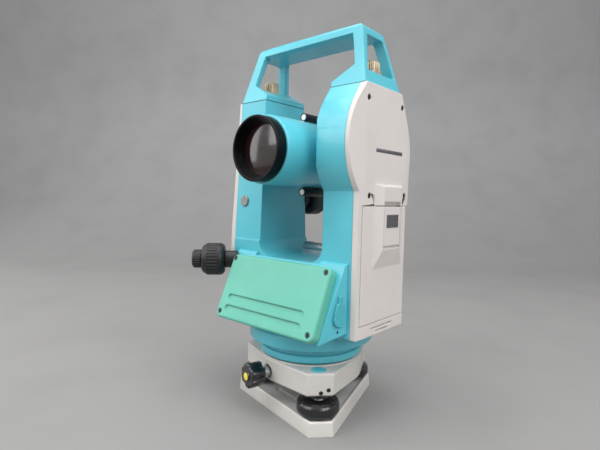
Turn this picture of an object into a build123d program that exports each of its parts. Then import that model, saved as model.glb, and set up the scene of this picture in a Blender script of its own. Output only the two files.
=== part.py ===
from build123d import *
import os
from math import acos, atan2, cos, radians, sin, sqrt

# Electronic theodolite on a levelling tribrach, as an assembly of separate pieces, in millimetres.
# Z is the instrument's vertical axis, X its trunnion axis, and -Y the side that the objective and
# the blank front cover face. The origin is on the vertical axis, at the base plate's underside.

# ---- driving dimensions -------------------------------------------------------------------
# Levels above the underside of the base plate
PLATE_TOP = 12.7
FOOT_KNOB_Z = (13.6, 25.6)
TRIBRACH_Z = (30.0, 50.0)
LIMB_FLANGE_Z = (53.0, 59.4)
DISC_Z = (66.0, 80.0)
GAP_FLOOR_Z = 141.0
TRUNNION_Z = 236.5
SEAM_Z = 289.6
TOP_Z = 343.5

# Base plate and tribrach, seen from above
LEG_ANGLES = (-42.3, 77.7, 197.7)
LEG_NAMES = ("front", "rear", "left")
LEG_RADIUS = 54.0
PLATE_CORNER = 72.9
PLATE_HALF_CORNER = 10.4
PLATE_RIM = 3.2
LOBE_FACE = 63.5
LOBE_HALF = 11.5
TRIBRACH_R = 49.0
SOCKET_R = 34.2
TRIPOD_THREAD_R = 7.94
SIDE_ANGLE = LEG_ANGLES[0] - 60
CLAMP_Z = 38.0
STAR_R = 11.0

# Alidade
LIMB_R = 49.3
DISC_R = 59.0
SPINDLE_R = 10.0
SIGHT_HOLE_R = 6.0
STANDARD_INNER = (-38.0, 39.2)
STANDARD_OUTER = (-74.5, 69.5)
SEAM_Y = (-29.0, 26.5)
BODY_Y = (-35.0, 35.0)
BODY_TOP_Y = -34.0
RIGHT_REAR_Y = 40.3
GAP_CORNER_R = 14.0
WALL = 4.0
COVER_X = 76.0
RUNNING = 0.04
PLUG_X = -62.0
PLUG_Z = 192.5
PLUMMET_Z = 112.0

# The right standard's bulge round the vertical circle: centre (y, z) and radius of each arc
DRUM_FRONT = (13.4, 241.9, 62.1)
DRUM_REAR = (0.0, 237.0, 46.6)
DRUM_FRONT_LOW_Z = 202.95
DRUM_REAR_LOW_Z = 228.0

# Panels at the front and the back: a plate that leans back over a wedge-shaped housing
PANEL_X = 1.0
PANEL_W = 118.0
PANEL_H = 61.4
PANEL_T = 9.0
PANEL_TOP = (-48.25, 141.8)
PANEL_LEAN = 22.7
PANEL_SCREWS = ((-55.5, 26.0), (54.5, 26.0), (-54.0, -25.2), (53.0, -25.2))
FLANK_X = (PANEL_X + PANEL_W / 2 + 0.5, 67.0)
FLANK_Y = -62.0
CAP_Y = -44.0
CAP_Z = 100.2
CAP_LEAN = 2.0
KEY_X = (-42, -14, 14, 42)
KEY_Y = -17.0
DISPLAY = (84.0, 28.0, 8.0)

# Telescope
BARREL_R = 29.6
OBJECTIVE_R = 27.4
OBJECTIVE_Y = -78.5
EYEPIECE_Y = 79.5
AXLE_R = 10.0
CIRCLE_R = 36.0
SIGHT_R = 3.7
SIGHT_RISE = 34.3

# Battery pack in the right standard
BATTERY_Y = (-30.4, 39.8)
BATTERY_Z = (93.0, 191.0)
BATTERY_INNER_X = 47.0
LATCH_Y = (-5.6, 21.6)

# Carrying handle
HANDLE_SCREW_X = (-60.0, 60.0)
HANDLE_CORNER_Z = 342.0
HANDLE_BAR_Z = 333.5
FOOT_FLOOR_Z = 301.0

# Coaxial clamps: where each axis leaves its casting, and its direction
H_CLAMP = ((-64.9, -33.65, 134.0), (-1, -1, 0))
V_CLAMP = ((-45.0, 24.0, 195.0), (0, 1, 0))

# Cover screws as (y, z)
SIDE_SCREWS = ((-25.8, 277.5), (28.0, 277.5), (-21.3, 199.5), (36.6, 200.5))
LEFT_SCREWS = ((-22, 276), (19, 276), (-26, 92), (26, 92))

PARTS = {}


# ---- helpers ------------------------------------------------------------------------------
def block(x0, x1, y0, y1, z0, z1):
    """Box between two corners."""
    centre = Pos((x0 + x1) / 2, (y0 + y1) / 2, (z0 + z1) / 2)
    return centre * Box(x1 - x0, y1 - y0, z1 - z0)


def rod(radius, start, direction, length):
    """Cylinder that starts at a point and runs along a direction."""
    foot = (Align.CENTER, Align.CENTER, Align.MIN)
    return Plane(start, z_dir=direction) * Cylinder(radius, length, align=foot)


def lathe(points, start=(0, 0, 0), direction=(0, 0, 1)):
    """Turned solid; each point is a radius and a distance along the axis."""
    outline = Polyline([(r, 0, t) for r, t in points], close=True)
    return Plane(start, z_dir=direction) * revolve(make_face(outline), axis=Axis.Z)


def ring(outer, inner, start, direction, length):
    """Plain ring along an axis."""
    return lathe([(inner, 0), (outer, 0), (outer, length), (inner, length)], start, direction)


def polygon(points):
    """Face with straight sides, on the XY plane."""
    return make_face(Polyline(points, close=True))


def along_x(face, x0, x1):
    """Prism of a face drawn as (y, z)."""
    return extrude(Plane.YZ.offset(x0) * face, amount=x1 - x0)


def along_y(face, y0, y1):
    """Prism of a face drawn as (x, z)."""
    drawn = Plane((0, y0, 0), x_dir=(1, 0, 0), z_dir=(0, -1, 0))
    return extrude(drawn * face, amount=y0 - y1)


def polar(radius, angle, z=0.0, sideways=0.0):
    """Point at a radius on a horizontal direction, moved sideways from it."""
    a = radians(angle)
    return (radius * cos(a) - sideways * sin(a), radius * sin(a) + sideways * cos(a), z)


def around(count, radius, offset=0.0):
    """Evenly spaced points on a circle about the local Z axis."""
    turn = [radians(offset + 360 * i / count) for i in range(count)]
    return [Pos(radius * cos(a), radius * sin(a), 0) for a in turn]


def knurl(body, start, direction, radius, length, count, depth):
    """Cut rounded grooves along the rim of a turned piece."""
    groove = Cylinder(depth, length, align=(Align.CENTER, Align.CENTER, Align.MIN))
    cutters = [Plane(start, z_dir=direction) * place * groove for place in around(count, radius)]
    return body - cutters


def lens(radius, front, back, bulge, start, direction):
    """Glass with two domed faces: front and back are the edge's distances along the axis."""
    ball = (radius**2 + bulge**2) / (2 * bulge)
    foot = (Align.CENTER, Align.CENTER, Align.MIN)
    glass = Pos(0, 0, front - bulge) * Cylinder(radius, back - front + 2 * bulge, align=foot)
    glass &= Pos(0, 0, front - bulge + ball) * Sphere(ball)
    glass &= Pos(0, 0, back + bulge - ball) * Sphere(ball)
    return Plane(start, z_dir=direction) * glass


# ---- base plate and foot screws -------------------------------------------------------------
def corner_polygon(face_distance, half):
    """Triangle with cut corners: each corner's face is square to its leg."""
    corners = []
    for angle in LEG_ANGLES:
        corners += [polar(face_distance, angle, 0, -half), polar(face_distance, angle, 0, half)]
    return polygon([(x, y) for x, y, _ in corners])


def make_base():
    pocket_z = 9.5
    outer = corner_polygon(PLATE_CORNER, PLATE_HALF_CORNER)
    inner = corner_polygon(PLATE_CORNER - PLATE_RIM, PLATE_HALF_CORNER - 1.8)
    plate = extrude(outer, amount=PLATE_TOP, taper=4)
    plate = chamfer(plate.faces().sort_by(Axis.Z)[-1].edges(), 0.8)
    plate -= Pos(0, 0, pocket_z) * extrude(inner, amount=10)
    plate -= rod(TRIPOD_THREAD_R, (0, 0, -1), (0, 0, 1), 20)
    for angle in LEG_ANGLES:
        plate -= rod(5.6, polar(LEG_RADIUS, angle, 3.5), (0, 0, 1), 10)
    PARTS["base_plate"] = plate

    sheet = extrude(corner_polygon(PLATE_CORNER - PLATE_RIM - 0.8, PLATE_HALF_CORNER - 2.2), amount=1.0)
    sheet -= rod(16, (0, 0, -1), (0, 0, 1), 5)
    for angle in LEG_ANGLES:
        sheet -= rod(4.2, polar(LEG_RADIUS, angle, -1), (0, 0, 1), 5)
        slot = extrude(SlotOverall(34, 5), amount=5)
        sheet -= Pos(*polar(27, angle + 60, -1)) * Rot(0, 0, angle + 150) * slot
    PARTS["spring_plate"] = Pos(0, 0, pocket_z) * sheet


def make_foot_screw(name, angle):
    x, y, _ = polar(LEG_RADIUS, angle)
    z0, z1 = FOOT_KNOB_Z
    spindle = [(0, 3.6), (3.5, 3.6), (5.0, 4.8), (5.0, 8.0), (3.6, 8.8), (3.6, z0), (4.0, z0 + 0.4)]
    spindle += [(4.0, 42.8), (3.4, 43.5), (0, 43.5)]
    PARTS["foot_spindle_" + name] = lathe(spindle, (x, y, 0))
    knob = [(4.1, z0), (15.5, z0), (18.5, z0 + 2.6), (18.5, z1 - 3.4), (17.4, z1 - 1.4), (14.6, z1 - 0.4)]
    knob += [(12.6, z1), (10.6, z1 + 0.2), (8.2, z1 + 1.0), (7.6, z1 + 1.8), (7.6, z1 + 3.2), (4.1, z1 + 3.2)]
    turned = lathe(knob, (x, y, 0))
    PARTS["foot_knob_" + name] = knurl(turned, (x, y, z0), (0, 0, 1), 19.0, 9.6, 36, 0.9)


# ---- tribrach and the fixed limb ------------------------------------------------------------
def lobe_outline(face_distance, half, radius):
    """Circle with three flat-faced lobes, joined by tangents."""
    edges = list(Circle(radius).edges())
    for angle in LEG_ANGLES:
        ends = [polar(face_distance, angle, 0, side * half) for side in (-1, 1)]
        edges.append(Edge.make_line(*ends))
    return make_hull(edges)


def make_tribrach():
    z0, z1 = TRIBRACH_Z
    body = Pos(0, 0, z0) * extrude(lobe_outline(LOBE_FACE, LOBE_HALF, TRIBRACH_R), amount=z1 - z0)
    body = fillet(body.edges().filter_by(Axis.Z), 2.0)
    body = chamfer(body.faces().sort_by(Axis.Z)[-1].edges(), 1.0)
    body = chamfer(body.faces().sort_by(Axis.Z)[0].edges(), 1.6)
    body += ring(47.6, 40, (0, 0, z1 - 0.5), (0, 0, 1), 1.7)
    body -= rod(SOCKET_R, (0, 0, z0 + 6), (0, 0, 1), 40)
    body -= rod(13, (0, 0, z0 - 1), (0, 0, 1), 20)
    for angle in LEG_ANGLES:
        x, y, _ = polar(LEG_RADIUS, angle)
        body -= rod(8.2, (x, y, z0 - 1), (0, 0, 1), 5.5)
        body -= rod(4.0 + RUNNING, (x, y, z0), (0, 0, 1), 18.8)
        body -= rod(6.5, (x, y, z1 - 1.5), (0, 0, 1), 5)
    clamp_dir = polar(1, SIDE_ANGLE)
    body -= rod(3.0 + RUNNING, polar(SOCKET_R - 2, SIDE_ANGLE, CLAMP_Z), clamp_dir, 30)
    body -= rod(6.4, polar(46.5, SIDE_ANGLE, CLAMP_Z), clamp_dir, 20)
    PARTS["tribrach_body"] = body
    caps = [lathe([(0, z1 - 1.4), (6.4, z1 - 1.4), (6.4, z1 - 0.1), (5.8, z1 + 0.4), (0, z1 + 0.5)],
                  polar(LEG_RADIUS, angle)) for angle in LEG_ANGLES]
    PARTS["lobe_caps"] = Compound(children=caps)
    make_circular_level(z1)


def make_circular_level(top):
    """Bull's-eye level on an arm at the tribrach's back."""
    angle = LEG_ANGLES[2] - 60
    centre = polar(60, angle)
    arm = Pos(*polar(53, angle, top - 6)) * Rot(0, 0, angle) * Box(12, 12, 6)
    arm -= extrude(Circle(TRIBRACH_R + 0.02), amount=100)
    cup = lathe([(0, top - 10), (9.5, top - 10), (10.5, top - 9), (10.5, top + 0.4), (9.8, top + 1.1),
                 (8.2, top + 1.1), (8.2, top - 5), (0, top - 5)], centre)
    bowl = rod(8.2, polar(60, angle, top - 5), (0, 0, 1), 20)
    PARTS["circular_level"] = arm - bowl + cup
    vial = [(0, top - 4.9), (8.1, top - 4.9), (8.1, top - 0.2), (0, top + 0.8)]
    PARTS["circular_vial"] = lathe(vial, centre)


def make_limb():
    plug_z = TRIBRACH_Z[0] + 6.2
    f0, f1 = LIMB_FLANGE_Z
    seat = TRIBRACH_Z[1] + 1.2
    neck = DISC_Z[0] - 0.3
    profile = [(14, plug_z), (33.2, plug_z), (33.8, plug_z + 0.6), (33.8, seat), (45, seat), (45, f0)]
    profile += [(48.5, f0), (LIMB_R, f0 + 0.8), (LIMB_R, f1 - 1.2), (48.1, f1), (46.5, f1)]
    profile += [(46.5, neck), (21, neck), (21, 70), (14, 70)]
    PARTS["limb_base"] = lathe(profile)
    bore = SPINDLE_R + RUNNING
    bush = [(bore, plug_z), (13.95, plug_z), (13.95, 70), (17, 70), (17, 72), (bore, 72)]
    PARTS["axis_bush"] = lathe(bush)
    PARTS["horizontal_circle"] = ring(43, 17.1, (0, 0, 70), (0, 0, 1), 3)


def make_clamp_knob():
    """Star knob and screw that lock the instrument into the tribrach."""
    direction = polar(1, SIDE_ANGLE)
    screw = [(0, 0), (2.4, 0), (3.0, 0.8), (3.0, 12.4), (5.2, 12.8), (5.2, 22), (3.0, 22), (3.0, 30), (0, 30)]
    PARTS["clamp_screw"] = lathe(screw, polar(SOCKET_R + 0.4, SIDE_ANGLE, CLAMP_Z), direction)
    star = Circle(STAR_R) - [place * Circle(4.2) for place in around(6, STAR_R + 2.6)]
    star = fillet(star.vertices(), 1.2)
    knob = chamfer(extrude(star, amount=13.5).edges().group_by(Axis.Z)[-1], 1.0)
    knob += lathe([(0, 13), (5.0, 13), (4.5, 14.8), (0, 14.8)])
    knob += rod(7.4, (0, 0, -1.5), (0, 0, 1), 2)
    knob -= rod(5.3, (0, 0, -2), (0, 0, 1), 2.3)
    knob -= rod(3.05, (0, 0, -3), (0, 0, 1), 11.2)
    knob -= rod(3.5, (0, 0, 14.0), (0, 0, 1), 5)
    PARTS["clamp_knob"] = Plane(polar(57.2, SIDE_ANGLE, CLAMP_Z), z_dir=direction) * knob


# ---- alidade castings -----------------------------------------------------------------------
def tangent_point(y, z, arc, front):
    """Where the line from a point outside an arc's circle touches it."""
    centre_y, centre_z, radius = arc
    reach = sqrt((y - centre_y) ** 2 + (z - centre_z) ** 2)
    turn = acos(radius / reach)
    angle = atan2(z - centre_z, y - centre_y) + (turn if front else -turn)
    return (centre_y + radius * cos(angle), centre_z + radius * sin(angle))


def arc_point(z, arc, side):
    """Point of an arc at a height; side is -1 at the front and +1 at the back."""
    centre_y, centre_z, radius = arc
    return (centre_y + side * sqrt(radius**2 - (z - centre_z) ** 2), z)


def right_outline(bottom):
    """Side view of the right standard, which bulges round the vertical circle."""
    seam_front = (SEAM_Y[0], SEAM_Z)
    seam_rear = (SEAM_Y[1], SEAM_Z)
    touch_front = tangent_point(*seam_front, DRUM_FRONT, True)
    touch_rear = tangent_point(*seam_rear, DRUM_REAR, False)
    low_front = arc_point(DRUM_FRONT_LOW_Z, DRUM_FRONT, -1)
    low_rear = arc_point(DRUM_REAR_LOW_Z, DRUM_REAR, 1)
    widest_front = arc_point(DRUM_FRONT[1], DRUM_FRONT, -1)
    widest_rear = arc_point(DRUM_REAR[1], DRUM_REAR, 1)
    outline = Polyline(low_front, (BODY_Y[0], bottom), (RIGHT_REAR_Y, bottom), low_rear)
    outline += ThreePointArc(low_rear, widest_rear, touch_rear)
    outline += Polyline(touch_rear, seam_rear, seam_front, touch_front)
    outline += ThreePointArc(touch_front, widest_front, low_front)
    return make_face(outline)


def left_outline(bottom):
    """Side view of the left standard, which widens a little towards its foot."""
    return polygon([(SEAM_Y[0], SEAM_Z), (BODY_TOP_Y, GAP_FLOOR_Z), (BODY_Y[0], bottom), (BODY_Y[1], bottom),
                    (-BODY_TOP_Y, GAP_FLOOR_Z), (SEAM_Y[1], SEAM_Z)])


def left_slab(outer_top, outer_low, inner_top, inner_low, bottom):
    """Slab between two leaning planes, for the left standard's outer face and its cover."""
    face = polygon([(outer_top, SEAM_Z), (outer_low, 165), (outer_low, bottom), (inner_low, bottom),
                    (inner_low, 165), (inner_top, SEAM_Z)])
    return along_y(face, -60, 60)


def make_yoke():
    left, right = STANDARD_INNER
    bottom = DISC_Z[1]
    frame = along_x(left_outline(bottom), STANDARD_OUTER[0], left + 0.01)
    frame &= left_slab(-71.6, STANDARD_OUTER[0], 0, 0, bottom)
    frame += along_x(right_outline(bottom + 2), right - 0.01, STANDARD_OUTER[1])
    bulge_edge = polygon([(right - 1, -60), (right - 1, -45.2), (right, -45.8), (right + 1.6, -47.6),
                          (right + 5, -49), (right + 5, -60)])
    frame -= Pos(0, 0, DRUM_FRONT_LOW_Z) * extrude(bulge_edge, amount=SEAM_Z - DRUM_FRONT_LOW_Z)
    frame += block(STANDARD_OUTER[0] + 1, 60, BODY_Y[0], BODY_Y[1], bottom, GAP_FLOOR_Z + GAP_CORNER_R)
    gap = Pos((left + right) / 2, (GAP_FLOOR_Z + 320) / 2) * Rectangle(right - left, 320 - GAP_FLOOR_Z)
    gap = fillet(gap.vertices().group_by(Axis.Y)[0], GAP_CORNER_R)
    frame -= along_y(gap, -80, 80)
    right_room = offset(right_outline(bottom + 2), -WALL)
    left_room = offset(left_outline(bottom), -WALL)
    frame -= along_x(right_room, right + WALL, STANDARD_OUTER[1] + 1)
    frame -= along_x(left_room, STANDARD_OUTER[0] - 1, left - WALL)
    bay_z = (92, GAP_FLOOR_Z - 8)
    frame -= block(left - WALL - 1, right + WALL + 1, BODY_Y[0] - 1, BODY_Y[1] + 1, *bay_z)
    frame -= rod(13, (left - 10, 0, TRUNNION_Z), (1, 0, 0), right - left + 20)
    frame -= rod(SIGHT_HOLE_R + 0.5, (0, 0, bottom - 1), (0, 0, 1), 20)
    for x in HANDLE_SCREW_X:
        frame -= rod(3.0, (x, 0, SEAM_Z - 10), (0, 0, 1), 20)
    PARTS["yoke_frame"] = frame


def make_disc():
    z0, z1 = DISC_Z
    wall = DISC_R - 5
    profile = [(24, z0), (DISC_R - 1.5, z0), (DISC_R, z0 + 1.2), (DISC_R, z1 - 3), (DISC_R - 2.5, z1)]
    profile += [(wall, z1), (wall, z0 + 3.2), (24, z0 + 3.2)]
    PARTS["alidade_base"] = lathe(profile)
    spindle = [(SIGHT_HOLE_R, 37), (SPINDLE_R, 37), (SPINDLE_R, 75.1), (20, 75.1), (20, z1)]
    spindle.append((SIGHT_HOLE_R, z1))
    PARTS["vertical_spindle"] = lathe(spindle)


# ---- side covers and battery ------------------------------------------------------------------
def facet_cutters(z0, z1):
    """Wedges that bevel the right side's outer face towards its front and rear edges."""
    front = polygon([(73.4, -48.7), (COVER_X, -28), (95, -28), (95, -60), (72.0, -60)])
    rear = polygon([(75.0, 46.6), (COVER_X, 39), (95, 39), (95, 60), (73.2, 60)])
    return [Pos(0, 0, z0) * extrude(face, amount=z1 - z0) for face in (front, rear)]


def raised_block(z0, z1):
    """Raised panel that runs down the cover onto the battery, with sloping sides."""
    section = polygon([(COVER_X - 1, -13.7), (COVER_X, -13.7), (81, -6), (81, 22.5), (COVER_X, 33),
                       (COVER_X - 1, 33)])
    return Pos(0, 0, z0) * extrude(section, amount=z1 - z0)


def make_right_cover():
    bottom = DISC_Z[1] + 2
    x0 = STANDARD_OUTER[1] + 0.05
    outline = right_outline(bottom)
    cover = along_x(outline, x0, COVER_X) - facet_cutters(bottom - 1, SEAM_Z + 1)
    cover -= along_x(offset(outline, -3), x0 - 1, x0 + 2.6)
    cover += raised_block(BATTERY_Z[1] + 0.6, 209.5)
    top_slope = polygon([(COVER_X, 209.6), (82, 209.6), (82, 207.2)])
    cover -= along_y(top_slope, -20, 40)
    thumb = polygon([(83, 191), (77.6, 191), (77.6, 192.6), (83, 196.6)])
    cover -= along_y(thumb, *LATCH_Y)
    y0, y1 = BATTERY_Y
    z0, z1 = BATTERY_Z
    cover -= block(x0 - 5, 100, y0 - 0.5, y1 + 10, z0 - 0.5, z1 + 0.5)
    for x, length in ((74.4, 34), (74.4, 20)):
        z = 88.2 if length == 34 else 85.0
        cover -= block(x, 90, 4 - length / 2, 4 + length / 2, z - 0.6, z + 0.6)
    for y, z in SIDE_SCREWS:
        cover -= rod(2.6, (COVER_X - 1.6, y, z), (1, 0, 0), 5)
    PARTS["right_cover"] = cover


def make_left_cover():
    bottom = DISC_Z[1]
    outline = left_outline(bottom)
    slab = left_slab(-76.4, -82.4, -71.7, STANDARD_OUTER[0] - 0.05, bottom)
    cover = along_x(outline, -90, -60) & slab
    cover = chamfer(cover.faces().sort_by(Axis.X)[0].edges(), 2.0)
    cover -= rod(8.4, (-100, 0, PLUMMET_Z), (1, 0, 0), 40)
    for y, z in LEFT_SCREWS:
        depth = -76.0 if z > 165 else -81.4
        cover -= rod(2.6, (depth, y, z), (-1, 0, 0), 10)
    PARTS["left_cover"] = cover


def make_battery():
    y0, y1 = BATTERY_Y
    z0, z1 = BATTERY_Z
    case = block(BATTERY_INNER_X, 66, y0 + 1, 33.5, z0 + 1, z1 - 1)
    plate = block(66, COVER_X, y0, y1 - 6, z0, z1)
    plate += block(STANDARD_OUTER[1] + 0.4, COVER_X, y1 - 8, y1, z0, z1)
    case += plate - facet_cutters(z0 - 1, z1 + 1)
    case += raised_block(138.5, z1)
    foot_slope = polygon([(COVER_X, 138), (COVER_X, 139), (81.05, 154.8), (90, 154.8), (90, 138)])
    case -= along_y(foot_slope, -20, 40)
    case -= block(79.2, 82, *LATCH_Y, 155.2, z1 + 1)
    case -= block(77.4, 80, -1, 16, 160, 180)
    PARTS["battery_case"] = case
    latch = block(79.3, 80.9, LATCH_Y[0] + 0.4, LATCH_Y[1] - 0.4, 157.5, z1 - 0.4)
    latch += block(77.8, 79.4, 1, 14, 164, 176)
    for step in range(6):
        z = 173.4 + 1.85 * step
        latch += block(80.8, 81.4, -1.2, 17.5, z, z + 1.0)
    PARTS["battery_latch"] = latch


# ---- front and rear panels ----------------------------------------------------------------------
def panel_plane(side):
    """Local plane on a panel's outer face, centred; side is -1 at the front and +1 at the back."""
    lean = radians(PANEL_LEAN)
    y = PANEL_TOP[0] - sin(lean) * PANEL_H / 2
    z = PANEL_TOP[1] - cos(lean) * PANEL_H / 2
    origin = (-side * PANEL_X, -side * y, z)
    return Plane(origin, x_dir=(-side, 0, 0), z_dir=(0, side * cos(lean), sin(lean)))


def housing(side):
    """Hollow wedge between the body and a panel plate, with flanks that spread towards the body."""
    lean = radians(PANEL_LEAN)
    top = (PANEL_TOP[0] + PANEL_T * cos(lean), PANEL_TOP[1] - PANEL_T * sin(lean))
    low = (top[0] - PANEL_H * sin(lean), top[1] - PANEL_H * cos(lean))
    face = BODY_Y[0]
    section = polygon([(face, 144.5), (-38.4, 143), top, low, (-62, 81.6), (face, 86.8)])
    cavity = polygon([(face + 1, 131), (face, 131), (-57.4, 90), (face, 90), (face + 1, 90)])
    narrow, wide = (2 * PANEL_X - x for x in FLANK_X)
    plan = polygon([(narrow, -80), (FLANK_X[0], -80), (FLANK_X[0], FLANK_Y), (FLANK_X[1], face),
                    (wide, face), (narrow, FLANK_Y)])
    wedge = along_x(section, -80, 80) & extrude(plan, amount=200)
    wedge -= along_x(cavity, -PANEL_W / 2 + 3, PANEL_W / 2 - 3)
    if side > 0:
        wedge = wedge.rotate(Axis.Z, 180)
    left, right = STANDARD_INNER
    return wedge - block(left, right, -60, 60, GAP_FLOOR_Z + 0.5, GAP_FLOOR_Z + 20)


def panel_plate():
    plate = Pos(0, 0, -PANEL_T) * extrude(RectangleRounded(PANEL_W, PANEL_H, 6), amount=PANEL_T - 0.02)
    plate = fillet(plate.faces().sort_by(Axis.Z)[-1].edges(), 2.0)
    for x, y in PANEL_SCREWS:
        plate -= rod(2.4, (x, y, -1.8), (0, 0, 1), 5)
    return plate


def flank_plane(y, z):
    """Place on the front housing's right flank, with its Y axis pointing up along the rubber cap."""
    run = BODY_Y[0] - FLANK_Y
    rise = FLANK_X[1] - FLANK_X[0]
    x = FLANK_X[0] + rise * (y - FLANK_Y) / run
    upright = Plane((x, y, z), x_dir=(rise, run, 0), z_dir=(run, -rise, 0))
    return upright.location * Rot(0, 0, -CAP_LEAN)


def make_front_panel():
    place = flank_plane(CAP_Y, CAP_Z)
    case = housing(-1)
    case -= place * Pos(0, 0, -4) * Cylinder(5.2, 20)
    PARTS["front_housing"] = case
    plate = panel_plate()
    for y in (-10.6, -20.8):
        plate -= Pos(-2.5, y, -1.3) * extrude(SlotOverall(92, 5.4), amount=3)
    PARTS["front_cover"] = panel_plane(-1) * plate
    PARTS["data_socket"] = place * lathe([(0, -8), (5.1, -8), (5.1, 0.3), (3.7, 0.3), (3.7, -4), (0, -4)])
    bulb = Circle(6.2) + Pos(0, 8.2) * Trapezoid(11.6, 9.4, 76)
    neck = Pos(0, 13.4) * Rectangle(3.8, 8.6) + Pos(0, 17.7) * Circle(1.9)
    cap = fillet(extrude(bulb + neck, amount=2.2).edges().group_by(Axis.Z)[-1], 0.7)
    PARTS["connector_cap"] = place * Pos(0, 0, 0.4) * cap


def make_rear_panel():
    body_side = along_x(right_outline(DISC_Z[1]), STANDARD_INNER[1] - 6, STANDARD_OUTER[1])
    PARTS["rear_housing"] = housing(1) - body_side
    place = panel_plane(1)
    plate = panel_plate()
    width, height, rise = DISPLAY
    plate -= Pos(0, rise, -2.2) * extrude(RectangleRounded(width, height, 2), amount=5)
    plate -= Pos(0, rise, -PANEL_T - 1) * extrude(Rectangle(width - 8, height - 6), amount=PANEL_T + 2)
    for x in KEY_X:
        plate -= Pos(x, KEY_Y, -3.6) * extrude(RectangleRounded(17.6, 9.0, 1.8), amount=5)
    PARTS["keypad_panel"] = place * plate - body_side
    module = extrude(RectangleRounded(width - 0.3, height - 0.3, 1.9), amount=1.7)
    module += Pos(0, 0, -1.7) * Box(width - 8.4, height - 6.4, 3.4)
    PARTS["display_module"] = place * Pos(0, rise, -2.2) * module
    for number, x in enumerate(KEY_X, start=1):
        key = extrude(RectangleRounded(16.9, 8.3, 1.6), amount=3.6)
        key = fillet(key.faces().sort_by(Axis.Z)[-1].edges(), 0.7)
        PARTS["key_" + str(number)] = place * Pos(x, KEY_Y, -2.5) * key


def make_case_screws():
    """All the small screws of the covers and panels, which are the same screw."""
    head = lathe([(0, 0), (2.1, 0), (2.1, 0.9), (1.8, 1.2), (0.8, 1.2), (0.8, 0.5), (0, 0.5)])
    screws = [panel_plane(side) * Pos(x, y, -1.8) * head for side in (-1, 1) for x, y in PANEL_SCREWS]
    screws += [Plane((COVER_X - 1.6, y, z), z_dir=(1, 0, 0)) * head for y, z in SIDE_SCREWS]
    for y, z in LEFT_SCREWS:
        depth = -76.0 if z > 165 else -81.4
        screws.append(Plane((depth, y, z), z_dir=(-1, 0, 0)) * head)
    PARTS["case_screws"] = Compound(children=screws)


# ---- handle ------------------------------------------------------------------------------------
def make_handle():
    left, right = STANDARD_INNER
    corners = ((-60.9, HANDLE_CORNER_Z), (60.5, HANDLE_CORNER_Z))
    crown = ThreePointArc(corners[0], (0, TOP_Z), corners[1])
    sides = Polyline(corners[1], (73.7, SEAM_Z), (-71.5, SEAM_Z), corners[0])
    front_view = make_face(crown + sides)
    front_view = fillet(front_view.vertices().group_by(Axis.Y)[-1], 5)
    end_view = polygon([(SEAM_Y[0], SEAM_Z), (-15.2, TOP_Z), (15.8, TOP_Z), (SEAM_Y[1], SEAM_Z)])
    end_view = fillet(end_view.vertices().group_by(Axis.Y)[-1], 4)
    handle = along_y(front_view, -40, 40) & along_x(end_view, -90, 90)
    hand = polygon([(left, SEAM_Z - 5), (left, 294.5), (-57.5, 306), (-52.5, HANDLE_BAR_Z),
                    (53, HANDLE_BAR_Z), (60, 306.5), (right, 294.5), (right, SEAM_Z - 5)])
    hand = fillet(hand.vertices().group_by(Axis.Y)[-1], 3.5)
    handle -= along_y(hand, -40, 40)
    for y, edge in ((-25, -12), (25, 12)):
        bevel = polygon([(y, HANDLE_BAR_Z + 3.6), (edge, HANDLE_BAR_Z - 0.1), (y, HANDLE_BAR_Z - 4)])
        handle -= along_x(bevel, -52, 52.5)
    window = polygon([(-21.5, FOOT_FLOOR_Z), (-11.5, HANDLE_BAR_Z), (13, HANDLE_BAR_Z), (19.6, FOOT_FLOOR_Z)])
    window = fillet(window.vertices(), 1.5)
    handle -= along_x(window, -90, 90)
    for x in HANDLE_SCREW_X:
        handle -= rod(3.0, (x, 0, SEAM_Z - 1), (0, 0, 1), 20)
    PARTS["handle"] = handle


def make_handle_screws():
    shank = FOOT_FLOOR_Z + 0.3
    profile = [(0, 282), (2.9, 282), (2.9, shank), (6.7, shank), (7.3, shank + 0.6), (7.3, shank + 11)]
    profile += [(6.7, shank + 11.6), (0, shank + 11.6)]
    for name, x in zip(("left", "right"), HANDLE_SCREW_X):
        turned = lathe(profile, (x, 0, 0))
        PARTS["handle_screw_" + name] = knurl(turned, (x, 0, shank - 1), (0, 0, 1), 7.55, 14, 24, 0.6)


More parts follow.
